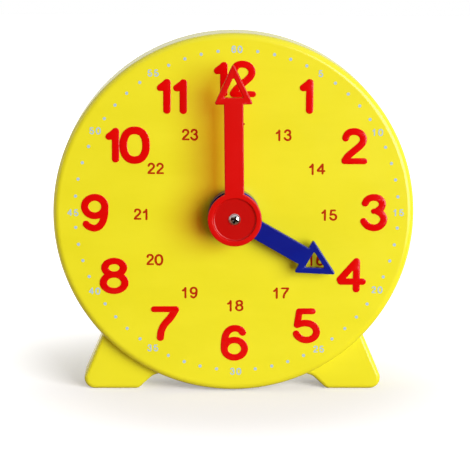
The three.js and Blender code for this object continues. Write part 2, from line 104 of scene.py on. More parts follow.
def arc(radius: float, depth: float, fillet: float, start: float, end: float, steps: int = 6) -> Outline:
    """Profile points of an arc.

    Args:
        radius: radius of the arc's centre.
        depth: depth of the arc's centre.
        fillet: the arc's own radius.
        start: first direction, 0 outwards and 90 to the rear.
        end: last direction.
        steps: number of steps.

    Returns:
        The arc's points as (radius, depth).
    """
    angles = np.radians(np.linspace(start, end, steps + 1))
    return [(radius + fillet * math.cos(a), depth + fillet * math.sin(a)) for a in angles]


def rounded(corners: Sequence[Triple]) -> Outline:
    """Outline through corners, each rounded by an arc.

    Args:
        corners: the corners as (x, z, radius).

    Returns:
        The outline's points.
    """
    outline = []
    for index, (x, z, radius) in enumerate(corners):
        if radius == 0:
            outline.append((x, z))
            continue
        corner = Vector((x, z))
        beside = (Vector(corners[(index + side) % len(corners)][:2]) for side in (-1, 1))
        before, after = ((spot - corner).normalized() for spot in beside)
        half = before.angle(after) / 2
        centre = corner + (before + after).normalized() * radius / math.sin(half)
        reach = radius / math.tan(half)
        start, end = corner + before * reach - centre, corner + after * reach - centre
        sweep = -start.angle_signed(end)
        turns = (Matrix.Rotation(sweep * step / 8, 2) for step in range(9))
        outline += [tuple(centre + turn @ start) for turn in turns]
    return outline


def moved(outline: Iterable[Point], place: Point) -> Outline:
    """Outline moved to a place."""
    return [(x + place[0], z + place[1]) for x, z in outline]


def placed(name: str, data: bpy.types.ID) -> Object:
    """New object in the scene, with its mesh, curve, light or camera."""
    bpy.context.scene.collection.objects.link(holder := bpy.data.objects.new(name, data))
    return holder


def shown(holder: Object) -> Mesh:
    """The mesh that an object shows, worked out from its curve or its modifiers."""
    bpy.context.view_layer.update()
    return bpy.data.meshes.new_from_object(holder.evaluated_get(bpy.context.evaluated_depsgraph_get()))


class Form:
    """A closed mesh in clock millimetres, which other forms can be joined to or cut from."""

    def __init__(self, mesh: Mesh) -> None:
        """Put a mesh on the bench, with its doubled points merged and its faces turned outwards.

        Args:
            mesh: the mesh.
        """
        self.holder = placed("form", mesh)
        work = bmesh.new()
        work.from_mesh(mesh)
        bmesh.ops.remove_doubles(work, verts=work.verts, dist=MERGE)
        bmesh.ops.recalc_face_normals(work, faces=work.faces)
        work.to_mesh(mesh)
        work.free()

    def modify(self, kind: str, **settings: object) -> None:
        """Use a modifier and keep its result as the form's mesh.

        Args:
            kind: the modifier's type.
            settings: its settings.
        """
        modifier = self.holder.modifiers.new("work", kind)
        for name, value in settings.items():
            setattr(modifier, name, value)
        mesh = shown(self.holder)
        self.holder.modifiers.clear()
        self.holder.data = mesh

    def join(self, *others: "Form", way: Way = Way.JOIN) -> "Form":
        """Join other forms to this one, or work on it with them in another way, and use them up.

        Args:
            others: the forms that are used.
            way: how they work on this one.

        Returns:
            This form.
        """
        for other in others:
            self.modify("BOOLEAN", operation=way.value, solver="EXACT", object=other.holder)
            bpy.data.objects.remove(other.holder)
        return self

    def cut(self, *others: "Form") -> "Form":
        """Cut other forms from this one."""
        return self.join(*others, way=Way.CUT)

    def turn(self, turn: float, place: Point = (0, 0), depth: float = 0) -> "Form":
        """Turn the form clockwise round the axis of the hands, then move it.

        Args:
            turn: the turn.
            place: the axis's new place in the dial plane.
            depth: how far the form goes to the rear.

        Returns:
            This form.
        """
        way = Matrix.Translation((place[0], depth, place[1]))
        self.holder.data.transform(way @ Matrix.Rotation(math.radians(turn), 4, "Y"))
        return self

    def finished(self) -> Object:
        """Shade the form, with sharp edges where it bends, and put it in the frame's place in metres.

        Returns:
            The form's object.
        """
        mesh = self.holder.data
        work = bmesh.new()
        work.from_mesh(mesh)
        bmesh.ops.dissolve_degenerate(work, dist=MERGE, edges=work.edges)
        bmesh.ops.recalc_face_normals(work, faces=work.faces)
        for edge in work.edges:
            edge.smooth = len(edge.link_faces) == 2 and edge.calc_face_angle(0) < SHARP
        for face in work.faces:
            face.smooth = True
        work.to_mesh(mesh)
        work.free()
        mesh.transform(Matrix.Scale(MM, 4) @ Matrix.Translation(CENTRE))
        self.modify("WEIGHTED_NORMAL", keep_sharp=True, weight=80)
        self.holder.data.materials.clear()
        return self.holder


def loft(rows: Sequence[Sequence[Triple]], closed: bool = False) -> Form:
    """Form through rows of points.

    Args:
        rows: rows with as many points each, as (x, depth, z).
        closed: whether the last row meets the first one. Otherwise both are filled.

    Returns:
        The form.
    """
    count = len(rows[0])
    total = count * len(rows)
    faces = [] if closed else [tuple(range(count)), tuple(range(total - count, total))]
    for first in range(0, total if closed else total - count, count):
        for step in range(count):
            a, b = first + step, first + (step + 1) % count
            faces.append((a, b, (b + count) % total, (a + count) % total))
    mesh = bpy.data.meshes.new("form")
    mesh.from_pydata([point for row in rows for point in row], [], faces)
    return Form(mesh)


def lathe(profile: Sequence[Point], steps: int = 96, place: Point = (0, 0), ripple: Callable | None = None) -> Form:
    """Form turned about an axis through the dial.

    Args:
        profile: points as (radius, depth), from axis to axis or closed on themselves.
        steps: number of steps round the axis.
        place: the axis's place in the dial plane.
        ripple: gives the radius at a turn, from the profile's radius and the turn.

    Returns:
        The form.
    """
    rows = []
    for radius, depth in profile:
        turns = (360 * step / steps for step in range(steps))
        ring = (polar(ripple(radius, turn) if ripple else radius, turn) for turn in turns)
        rows.append([(place[0] + x, depth, place[1] + z) for x, z in ring])
    return loft(rows, profile[0][0] > MERGE)


def rod(radius: float, front: float, rear: float, place: Point = (0, 0), steps: int = 48) -> Form:
    """Plain round bar between two depths."""
    return lathe([(0, front), (radius, front), (radius, rear), (0, rear)], steps, place)


def slab(outlines: Iterable[Outline], front: float, rear: float, fillet: float = 0, segments: int = 4) -> Form:
    """Plate with rounded edges. An outline inside another one is a hole.

    Args:
        outlines: closed outlines in the dial plane.
        front: depth of its front face.
        rear: depth of its rear face.
        fillet: radius of the edges.
        segments: number of steps round an edge.

    Returns:
        The form.
    """
    curve = bpy.data.curves.new("slab", "CURVE")
    curve.dimensions, curve.fill_mode = "2D", "BOTH"
    curve.extrude = (rear - front) / 2 - fillet
    curve.bevel_depth, curve.offset = fillet, -fillet
    curve.bevel_resolution = segments - 1
    for outline in outlines:
        spline = curve.splines.new("POLY")
        spline.points.add(len(outline) - 1)
        spline.points.foreach_set("co", [value for x, z in outline for value in (x, z, 0, 1)])
        spline.use_cyclic_u = True
    holder = placed("slab", curve)
    mesh = shown(holder)
    bpy.data.objects.remove(holder)
    mesh.transform(Matrix.Translation((0, (front + rear) / 2, 0)) @ Matrix.Rotation(math.pi / 2, 4, "X"))
    return Form(mesh)


def flatted(size: Point, front: float, rear: float) -> Form:
    """Round bar with two flats.

    Args:
        size: its radius and the distance of the flats from its axis.
        front: depth of its front end.
        rear: depth of its rear end.

    Returns:
        The form.
    """
    edge = math.degrees(math.acos(size[1] / size[0]))
    side = [polar(size[0], turn) for turn in np.linspace(-90 + edge, 90 - edge, 13)]
    return slab([side + [(-x, -z) for x, z in side]], front, rear)


# Numerals


def bent(pen: Point, *points: Point) -> Stroke:
    """Stroke along an even curve.

    Args:
        pen: the pen's half widths.
        points: the points that the curve passes through.

    Returns:
        The stroke.
    """
    known = np.array(points)
    known = np.vstack([2 * known[0] - known[1], known, 2 * known[-1] - known[-2]])
    line = []
    for a, b, c, d in zip(known, known[1:], known[2:], known[3:]):
        bend, twist = a - 2.5 * b + 2 * c - 0.5 * d, 3 * b - a - 3 * c + d
        line += [tuple(b + 0.5 * t * (c - a) + t * t * bend + t**3 * 0.5 * twist) for t in np.arange(8) / 8]
    return pen, line + [tuple(known[-2])]


def oval(pen: Point, centre: Point, half: Point, power: float = 2.0) -> Stroke:
    """Closed stroke round an oval.

    Args:
        pen: the pen's half widths.
        centre: the oval's middle.
        half: its half width and half height.
        power: 2 for an ellipse, more for a squarer oval.

    Returns:
        The stroke.
    """
    line = []
    for angle in np.linspace(0, 2 * math.pi, 48, endpoint=False):
        c, s = math.cos(angle), math.sin(angle)
        x, z = (math.copysign(abs(v) ** (2 / power), v) for v in (c, s))
        line.append((centre[0] + x * half[0], centre[1] + z * half[1]))
    return pen, line + line[:1]


ROUND, BROAD, NARROW, BAR = (0.97, 0.94), (1.0, 0.97), (0.93, 0.93), (0.87, 0.83)

# Strokes of each digit about its own middle: the pen's half widths across and up, and its middle line.
NUMERALS = {
    "1": [
        (BROAD, [(0.57, 3.93), (0.57, -3.7)]),
        (NARROW, [(0.5, 3.85), (-1.25, 2.5), (0.57, 2.6)]),
    ],
    "2": [
        bent(ROUND,
            (-2.4, 2.6), (-2.1, 3.45), (-1.3, 4.2), (0.05, 4.42), (1.4, 4.05), (2.25, 3.2),
            (2.52, 2.2), (2.15, 1.1), (1.15, 0.05), (-0.35, -1.2), (-1.75, -2.45), (-2.5, -3.55),
        ),
        (BAR, [(-2.6, -3.8), (2.8, -3.8)]),
    ],
    "3": [
        bent(ROUND,
            (-2.7, 2.85), (-2.15, 3.8), (-1.2, 4.35), (-0.15, 4.47), (1.0, 4.2), (1.8, 3.5),
            (2.08, 2.6), (1.75, 1.55), (1.0, 0.95),
        ),
        ((0.76, 0.74), [(1.2, 0.8), (-0.3, 0.6)]),
        bent(ROUND,
            (0.9, 0.45), (1.65, 0.05), (2.3, -0.75), (2.52, -1.75), (2.2, -2.8), (1.4, -3.6),
            (0.4, -4.0), (-0.6, -4.0), (-1.7, -3.65), (-2.55, -2.95), (-3.05, -2.25),
        ),
    ],
    "4": [
        (ROUND, [(1.25, 4.25), (-3.25, -0.85)]),
        ((0.95, 0.9), [(-3.25, -0.85), (-3.05, -1.42), (3.0, -1.45)]),
        (ROUND, [(1.29, 4.25), (1.29, -3.55)]),
    ],
    "5": [
        (BAR, [(1.5, 4.2), (-2.15, 4.2)]),
        (NARROW, [(-2.2, 4.1), (-2.75, 0.45)]),
        bent(ROUND,
            (-2.75, 0.35), (-1.5, 0.75), (-0.2, 0.82), (1.2, 0.5), (2.2, -0.35), (2.65, -1.57), (2.3, -2.8),
            (1.4, -3.6), (0.2, -3.97), (-0.9, -3.9), (-2.0, -3.4), (-2.7, -2.75), (-3.0, -2.2),
        ),
    ],
    "6": [
        bent(ROUND,
            (2.55, 3.2), (1.8, 4.0), (0.5, 4.38), (-0.9, 4.05), (-1.95, 2.95), (-2.42, 1.4),
            (-2.56, -0.2), (-2.56, -1.46),
        ),
        oval((0.97, 0.9), (0.27, -1.46), (2.83, 2.5)),
    ],
    "7": [
        (BAR, [(-3.2, 4.3), (2.7, 4.3)]),
        bent(BROAD, (2.72, 4.2), (1.46, 2.07), (-0.36, -0.1), (-1.22, -1.95), (-1.46, -3.75)),
    ],
    "8": [oval((1.02, 0.88), (0.13, 2.58), (2.58, 1.92)), oval((1.02, 0.86), (0.1, -1.65), (2.98, 2.31))],
    "9": [
        oval((1.0, 0.94), (-0.26, 1.88), (2.79, 2.58)),
        bent(ROUND,
            (2.53, 1.88), (2.5, 0.3), (2.25, -1.3), (1.7, -2.75), (0.8, -3.75), (-0.3, -4.16),
            (-1.4, -3.95), (-2.2, -3.5), (-2.65, -3.0),
        ),
    ],
    "0": [oval((1.04, 1.04), (0.04, 0), (3.12, 4.12), 2.3)],
    "thin 1": [
        bent(ROUND, (-2.3, 1.9), (-1.2, 2.5), (-0.3, 3.3), (0.1, 4.2)),
        (ROUND, [(0.17, 4.2), (0.17, -4.1)]),
    ],
}

# Which edges of a grid cell the border crosses, by the corners that lie inside, always inside to the left.
CROSSINGS = {
    1: "BL", 2: "RB", 3: "RL", 4: "TR", 5: "BLTR", 6: "TB", 7: "TL",
    8: "LT", 9: "BT", 10: "RBLT", 11: "RT", 12: "LR", 13: "BR", 14: "LB",
}


@dataclass(frozen=True)
class Lettering:
    """Numerals drawn with a round pen and traced round their edges."""

    size: Point = (1.0, 1.0)
    pen_share: float = 1.0
    one: str = "1"
    cell: float = 0.1
    spacing: float = 1.3

    @cache
    def digit(self, digit: str) -> list[Outline]:
        """Outlines of a digit about its own middle, traced on a fine grid.

        Args:
            digit: the digit.

        Returns:
            Outer outlines and holes, with evenly spaced points.
        """
        strokes = [
            (np.array(line) * self.size, np.array(pen) * self.pen_share)
            for pen, line in NUMERALS[self.one if digit == "1" else digit]
        ]
        margin = 2 * max(pen.max() for _, pen in strokes)
        every = np.vstack([line for line, _ in strokes])
        low, high = every.min(0) - margin, every.max(0) + margin
        xs, zs = (np.arange(low[i], high[i], self.cell) for i in (0, 1))
        grid = np.full((len(xs), len(zs)), np.inf)
        for line, pen in strokes:
            x, z = np.meshgrid(xs / pen[0], zs / pen[1], indexing="ij")
            for start, end in zip(line / pen, line[1:] / pen):
                way = end - start
                share = np.clip(((x - start[0]) * way[0] + (z - start[1]) * way[1]) / (way @ way), 0, 1)
                off = np.hypot(x - start[0] - share * way[0], z - start[1] - share * way[1])
                grid = np.minimum(grid, off - 1)
        return border_loops(grid, xs, zs, self.spacing * self.cell)

    def words(self, text: str, centre: Point, advance: float) -> list[Outline]:
        """Outlines of a number.

        Args:
            text: its digits.
            centre: place of the number's middle.
            advance: distance from one digit's middle to the next one's.

        Returns:
            The outlines of all digits.
        """
        first = centre[0] - advance * (len(text) - 1) / 2
        places = [(first + advance * index, centre[1]) for index in range(len(text))]
        return [moved(outline, place) for digit, place in zip(text, places) for outline in self.digit(digit)]


def border_loops(grid: np.ndarray, xs: np.ndarray, zs: np.ndarray, gap: float) -> list[Outline]:
    """Closed lines along which a grid of values crosses zero.

    Args:
        grid: values at the grid's points, negative inside.
        xs: the columns' places.
        zs: the rows' places.
        gap: distance between a line's points.

    Returns:
        The lines' points.
    """
    inside = grid < 0
    code = inside[:-1, :-1] * 1 + inside[1:, :-1] * 2 + inside[1:, 1:] * 4 + inside[:-1, 1:] * 8
    following = {}
    for i, j in np.argwhere((code > 0) & (code < 15)):
        edges = {"B": (i, j, i + 1, j), "T": (i, j + 1, i + 1, j + 1)}
        edges |= {"L": (i, j, i, j + 1), "R": (i + 1, j, i + 1, j + 1)}
        names = CROSSINGS[int(code[i, j])]
        for start, end in zip(names[::2], names[1::2]):
            following[edges[start]] = edges[end]
    loops = []
    while following:
        edge, loop = next(iter(following)), []
        while edge in following:
            i, j, k, m = edge
            share = grid[i, j] / (grid[i, j] - grid[k, m])
            loop.append((float(xs[i] + share * (xs[k] - xs[i])), float(zs[j] + share * (zs[m] - zs[j]))))
            edge = following.pop(edge)
        points = np.array(loop + loop[:1])
        run = np.concatenate([[0], np.cumsum(np.hypot(*np.diff(points, axis=0).T))])
        at = np.linspace(0, run[-1], max(16, int(run[-1] / gap)), endpoint=False)
        loops.append(list(zip(*(np.interp(at, run, values) for values in points.T))))
    return loops


# Finishes


class Signal:
    """What comes out of a node's socket. Python's arithmetic on numbers adds Math nodes."""

    def __init__(self, bench: "Bench", node: Node, output: int | str = 0) -> None:
        """Wrap one of a node's outputs."""
        self.bench, self.node, self.output = bench, node, output

    def __getitem__(self, output: int | str) -> "Signal":
        """Another output of the same node."""
        return Signal(self.bench, self.node, output)

    def math(self, operation: str, *values: "Signal | float") -> "Signal":
        """A Math node on these values."""
        return self.bench.node("Math", dict(enumerate(values)), operation=operation)

    def __add__(self, other: "Signal | float") -> "Signal":
        """Sum."""
        return self.math("ADD", self, other)

    __radd__ = __add__

    def __mul__(self, other: "Signal | float") -> "Signal":
        """Product."""
        return self.math("MULTIPLY", self, other)

    __rmul__ = __mul__

    def __sub__(self, other: "Signal | float") -> "Signal":
        """Difference."""
        return self.math("SUBTRACT", self, other)

    def __rsub__(self, other: "Signal | float") -> "Signal":
        """Difference, from a plain number."""
        return self.math("SUBTRACT", other, self)

    def ramp(self, low: float, high: float) -> "Signal":
        """0 at or under low and 1 at or over high, with soft ends."""
        sockets = {"Value": self, "From Min": low, "From Max": high}
        return self.bench.node("MapRange", sockets, interpolation_type="SMOOTHSTEP")


class Bench:
    """The nodes of one material or world."""

    def __init__(self, owner: Material | World) -> None:
        """Clear the owner's nodes."""
        self.owner, owner.use_nodes = owner, True
        owner.node_tree.nodes.clear()

    def node(self, kind: str, sockets: dict | None = None, **settings: object) -> Signal:
        """Add a node.

        Args:
            kind: the node's type, without the words ShaderNode in front.
            sockets: values or links of its input sockets, by name or number.
            settings: its settings, which are set first.

        Returns:
            Its first output.
        """
        tree = self.owner.node_tree
        node = tree.nodes.new("ShaderNode" + kind)
        for name, value in settings.items():
            setattr(node, name, value)
        for name, value in (sockets or {}).items():
            socket = node.inputs[name]
            if isinstance(value, Signal):
                tree.links.new(value.node.outputs[value.output], socket)
            else:
                socket.default_value = (*value, 1.0) if socket.type == "RGBA" else value
        return Signal(self, node)

    def place(self) -> Signal:
        """Place on the piece at rest, in metres."""
        return self.node("TexCoord")["Object"]

    def noise(self, size_mm: float, detail: float, stretch: Sequence[float] = (1, 1, 1)) -> Signal:
        """Cloudy pattern, mostly from 0.3 to 0.7, with layers finer than its size and denser along an axis."""
        where = self.node("VectorMath", {0: self.place(), 1: stretch}, operation="MULTIPLY")
        return self.node("TexNoise", {"Vector": where, "Scale": 1 / (size_mm * MM), "Detail": detail})

    def mix(self, share: Signal, first: Colour | Signal, second: Colour | Signal) -> Signal:
        """Colour between two colours."""
        return self.node("Mix", {"Factor": share, 6: first, 7: second}, data_type="RGBA")[2]

    def bump(self, height: Signal, depth_mm: float) -> Signal:
        """Normal of a surface with a height pattern of a given depth."""
        return self.node("Bump", {"Height": height, "Distance": depth_mm * MM, "Strength": 1.0})

    def surface(self, shader: Signal) -> Material | World:
        """Use a shader as the owner's surface."""
        self.node("OutputWorld" if isinstance(self.owner, World) else "OutputMaterial", {"Surface": shader})
        return self.owner


@dataclass(frozen=True)
class Finish:
    """A look of the clock's pieces in two colours, of which the second lies in soft blots."""

    name: str
    colour: Colour
    second: Colour
    roughness: float

    @cache
    def made(self) -> Material:
        """Build the material, when it is first asked for."""
        bench = Bench(bpy.data.materials.new(self.name))
        return bench.surface(self.shader(bench))

    def shader(self, bench: Bench) -> Signal:
        """Build the shader, which each kind of finish does in its own way."""
        raise NotImplementedError


@dataclass(frozen=True)
class MouldedPlastic(Finish):
    """Coloured plastic from a mould: faint flow streaks, a fine skin and uneven gloss."""

    lets_through: Colour | None = None
    # Painted shade: between two depths measured from the dial's face, the colour darkens to shade times itself, and
    # it stays that dark further back.
    shaded: Point = (0.0, 0.0)
    shade: float = 1.0
    gloss: float = 0.5
    flow_size: float = 22.0

    def shader(self, bench: Bench) -> Signal:
        """Build the shader.

        Args:
            bench: the material's nodes.

        Returns:
            The shader.
        """
        streaks = bench.noise(self.flow_size, 4, (1, 1, 2.6)).ramp(0.3, 0.72)
        colour = bench.mix(streaks, self.colour, self.second)
        # Painted shade: the colour is darker deeper in, standing for the shade in a recess.
        if self.shade < 1:
            depth = bench.node("SeparateXYZ", {0: bench.place()})["Y"]
            painted_shade_share = depth.ramp(*((CENTRE.y + value) * MM for value in self.shaded))
            colour = bench.mix(painted_shade_share, colour, tuple(self.shade * value for value in self.colour))
        sockets = {
            "Base Color": colour,
            "Roughness": self.roughness - 0.05 + 0.1 * bench.noise(7.0, 3),
            "Normal": bench.bump(bench.noise(0.55, 2) + 0.35 * bench.noise(0.16, 1), 0.002),
            "IOR": 1.46,
            "Specular IOR Level": self.gloss,
        }
        shader = bench.node("BsdfPrincipled", sockets)
        if not self.lets_through:
            return shader
        tint = bench.node("BsdfTransparent", {"Color": self.lets_through})
        return bench.node("MixShader", {0: bench.node("LightPath")["Is Shadow Ray"], 1: shader, 2: tint})


@dataclass(frozen=True)
class Ink(Finish):
    """Printed ink with an uneven cover and a dull skin."""

    gloss: float = 0.06

    def shader(self, bench: Bench) -> Signal:
        """Build the shader.

        Args:
            bench: the material's nodes.

        Returns:
            The shader.
        """
        cover = bench.noise(0.5, 4).ramp(0.35, 0.75)
        sockets = {
            "Base Color": bench.mix(cover, self.colour, self.second),
            "Roughness": self.roughness + 0.15 * cover,
            "Normal": bench.bump(bench.noise(0.09, 2), 0.003),
            "Specular IOR Level": self.gloss,
        }
        return bench.node("BsdfPrincipled", sockets)


@dataclass(frozen=True)
class PlatedSteel(Finish):
    """Steel with a bright or dull plating, brushed and lightly stained, with painted shade that darkens it in its
    nooks.
    """

    # Painted shade: the near-black colour put in nooks, and the reach within which a nook counts.
    nook: Colour = (0.03, 0.03, 0.03)
    nook_mm: float = 0.9

    def shader(self, bench: Bench) -> Signal:
        """Build the shader.

        Args:
            bench: the material's nodes.

        Returns:
            The shader.
        """
        brushed, stains = bench.noise(0.6, 5, (1, 14, 1)), bench.noise(1.6, 4).ramp(0.5, 0.75)
        # Painted shade: an ambient occlusion reading darkens the plating towards the nook colour in recesses.
        light = bench.node("AmbientOcclusion", {"Distance": self.nook_mm * MM}, samples=8, only_local=True)["AO"]
        plating = bench.mix(stains, self.colour, self.second)
        sockets = {
            "Base Color": bench.mix(light.ramp(0.55, 0.9), self.nook, plating),
            "Metallic": 1.0,
            "Roughness": self.roughness + 0.12 * brushed + 0.1 * stains,
            "Normal": bench.bump(brushed, 0.004),
        }
        return bench.node("BsdfPrincipled", sockets)


YELLOW = MouldedPlastic("yellow_plastic", (0.80, 0.758, 0.021), (0.77, 0.728, 0.017), 0.22)
# The red darkens to 0.77 of itself from depth -9.7 to -9.25 and stays so further back: painted shade in the hub's
# dish and behind the hand's front face.
RED = MouldedPlastic(
    "red_plastic", (0.63, 0.004, 0.003), (0.60, 0.003, 0.002), 0.2, (0.64, 0.0, 0.0), (-9.7, -9.25), 0.77, 0.32
)
BLUE = MouldedPlastic("blue_plastic", (0.0, 0.011, 0.255), (0.001, 0.008, 0.215), 0.16)
NUMERAL_RED = MouldedPlastic("numeral_red", (0.70, 0.001, 0.001), (0.67, 0.001, 0.001), 0.13)
WHITE = MouldedPlastic("white_acetal", (0.80, 0.77, 0.68), (0.74, 0.71, 0.62), 0.42, flow_size=9)
RED_INK = Ink("red_ink", (0.41, 0.02, 0.0), (0.45, 0.03, 0.0), 0.5)
PALE_INK = Ink("pale_ink", (0.38, 0.54, 0.7), (0.42, 0.56, 0.62), 0.5)
ZINC = PlatedSteel("zinc_plate", (0.62, 0.64, 0.67), (0.50, 0.50, 0.47), 0.22)
SPRING = PlatedSteel("spring_steel", (0.36, 0.37, 0.39), (0.27, 0.25, 0.22), 0.28)
CHROME = PlatedSteel("bright_chrome", (0.56, 0.56, 0.56), (0.36, 0.36, 0.36), 0.1)


# The clock

# Corners of the right foot as (x, z, radius), from its root down the heel and up the arch.
FOOT = (
    (10.420878, -42.748161, 0), (33.801034, -28.168956, 0),
    (43.28, -50.5, 3.0), (26.51, -50.5, 2.2), (22.6, -46.85, 3.0),
)


@dataclass
class SubAssembly:
    """Pieces that ride on one body."""

    body: str = "case"

    def keep(self, form: Form, name: str, finish: Finish, slot: str, *nodes: str) -> None:
        """Finish a form and put it in the frame.

        Args:
            form: the form.
            name: the piece's name.
            finish: its finish.
            slot: name of a slot for that finish; not used.
            nodes: the nodes that it stands for.
        """
        piece = form.finished()
        piece.name = piece.data.name = name
        piece.data.materials.append(finish.made())
        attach(piece, self.body)
        if nodes:
            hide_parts(*nodes)
        log.info("%s: %d faces on %s", name, len(piece.data.polygons), self.body)


def feet(front: float, rear: float, fillet: float, inset: float = 0) -> list[Form]:
    """Both moulded feet, or their hollows, as plates.

    Args:
        front: depth of their front face.
        rear: depth of their rear face.
        fillet: radius of their edges.
        inset: thickness of the wall round a hollow.

    Returns:
        The right form and the left one.
    """
    spots = [Vector(corner[:2]) for corner in FOOT]
    shrunk = []
    for index, (spot, (*_, radius)) in enumerate(zip(spots, FOOT)):
        before = (spot - spots[index - 1]).normalized()
        after = (spots[(index + 1) % len(spots)] - spot).normalized()
        side = Vector((before.y + after.y, -before.x - after.x)).normalized()
        shift = side * inset / side.dot(Vector((before.y, -before.x)))
        inward = inset if before.cross(after) < 0 else -inset
        shrunk.append((spot.x + shift.x, spot.y + shift.y, radius and radius - inward))
    right = rounded(shrunk)
    left = [(-x, z) for x, z in reversed(right)]
    return [slab([side], front, rear, fillet, 6) for side in (right, left)]


@dataclass
class Housing(SubAssembly):
    """The yellow dial with its rounded rim, side wall and feet, one moulding."""

    rim_fillet: float = 1.9
    face: float = 2.2
    wall: float = 2.0
    foot_setback: float = 4.0
    foot_fillet: float = 1.2
    bore: float = 4.05
    tube: float = 6.05
    tube_end: float = 3.4
    boss_radius: float = 2.7
    tip_room: float = 0.4
    spare: float = 2.0
    steps: int = 256

    def build(self) -> None:
        """Build the moulding and dress it."""
        rear = depths("front_housing")[1]
        past = rear + self.spare
        inner = DIAL_RADIUS - self.wall
        rim = arc(DIAL_RADIUS - self.rim_fillet, self.rim_fillet, self.rim_fillet, -90, 0, 12)
        wall = [(DIAL_RADIUS, past), (inner, past), (inner, self.face)]
        collar = [(self.tube, self.face), (self.tube, self.tube_end), (self.bore, self.tube_end)]
        drum = lathe([(self.bore, 0), *rim, *wall, *collar], self.steps)
        outsides = feet(self.foot_setback, rear + self.foot_fillet, self.foot_fillet)
        hollows = feet(self.foot_setback + self.wall, past + 1, 0, self.wall)
        for foot, hollow in zip(outsides, hollows):
            foot.cut(hollow.cut(rod(DIAL_RADIUS + 0.3, 0, past + self.spare, steps=self.steps)))
            drum.join(foot.cut(rod(inner + 0.5, 0, past + self.spare, steps=self.steps)))
        for node in CASE_SCREWS:
            place, end = middle(node), depths(node)[0] - self.tip_room
            in_foot = math.hypot(*place) > DIAL_RADIUS
            seat = self.foot_setback + self.wall / 2 if in_foot else self.face / 2
            boss = [(0, seat), (self.boss_radius, seat), (self.boss_radius, rear + 1)]
            drum.join(lathe([*boss, (SCREW_HOLE, rear + 1), (SCREW_HOLE, end), (0, end)], 48, place))
        drum.cut(rod(2 * DIAL_RADIUS, rear, past + self.spare, steps=32))
        self.keep(drum, "clock_housing", YELLOW, "case_yellow", "front_housing")


@dataclass
class RearCover(SubAssembly):
    """The cover that closes the drum and both feet from behind."""

    fillet: float = 0.8
    seam: float = 0.15
    lip_outer: float = 47.75
    lip_inner: float = 46.35
    lip_height: float = 1.6
    bore: float = 4.1
    tube: float = 6.1
    tube_back: float = 0.3
    well_radius: float = 2.8
    well_edge: float = 0.3

    def build(self) -> None:
        """Build the cover and dress it."""
        tube_front, rear = depths("rear_cover")
        tube_front += self.tube_back
        front = depths("front_housing")[1] + self.seam
        lip_front = front - self.lip_height
        collar = [(self.bore, tube_front), (self.tube, tube_front), (self.tube, front)]
        lip = [(self.lip_inner, front), (self.lip_inner, lip_front), (self.lip_outer, lip_front)]
        edge = arc(DIAL_RADIUS - self.fillet, rear - self.fillet, self.fillet, 0, 90, 8)
        rest = [(self.lip_outer, front), (DIAL_RADIUS, front), *edge, (self.bore, rear)]
        disc = lathe([*collar, *lip, *rest], 256)
        for foot in feet(front - self.fillet, rear, self.fillet):
            disc.join(foot.cut(rod(2 * DIAL_RADIUS, front - 2 * self.fillet, front, steps=32)))
        mouth = self.well_radius + self.well_edge
        for node in CASE_SCREWS:
            place, seat = middle(node), depths(node)[1] - SCREW_HEAD
            bend = arc(mouth, rear - self.well_edge, -self.well_edge, 0, -90, 4)
            well = [(0, seat), (self.well_radius, seat), *bend, (mouth, rear + 1), (0, rear + 1)]
            disc.cut(lathe(well, 64, place), rod(SCREW_HOLE, front - 1, rear, place, 24))
        self.keep(disc, "clock_cover", YELLOW, "case_yellow", "rear_cover")


@dataclass
class RaisedNumerals(SubAssembly):
    """Large red hour numerals that stand proud of the dial. Each hour has the places of its digits."""

    height: float = 0.2
    root: float = 0.4
    fillet: float = 0.14
    places: Sequence[Sequence[Point]] = (
        [(20.05, 32.65)], [(33.08, 18.71)], [(39.05, 0.34)], [(32.93, -17.45)], [(20.64, -31.53)],
        [(0.11, -36.56)], [(-18.83, -31.07)], [(-33.24, -17.65)], [(-38.14, 0.21)],
        [(-33.19, 19.06), (-27.41, 19.17)], [(-19.1, 32.55), (-14.61, 32.48)], [(-3.52, 37.25), (2.2, 37.15)],
    )
    lettering: Lettering = Lettering(pen_share=1.025)

    def build(self) -> None:
        """Build each numeral and dress it."""
        for hour, places in enumerate(self.places, 1):
            digits = zip(str(hour), places)
            outlines = [moved(outline, place) for digit, place in digits for outline in self.lettering.digit(digit)]
            form = slab(outlines, -self.height, self.root, self.fillet)
            self.keep(form, f"numeral_{hour}", NUMERAL_RED, "minute_red")


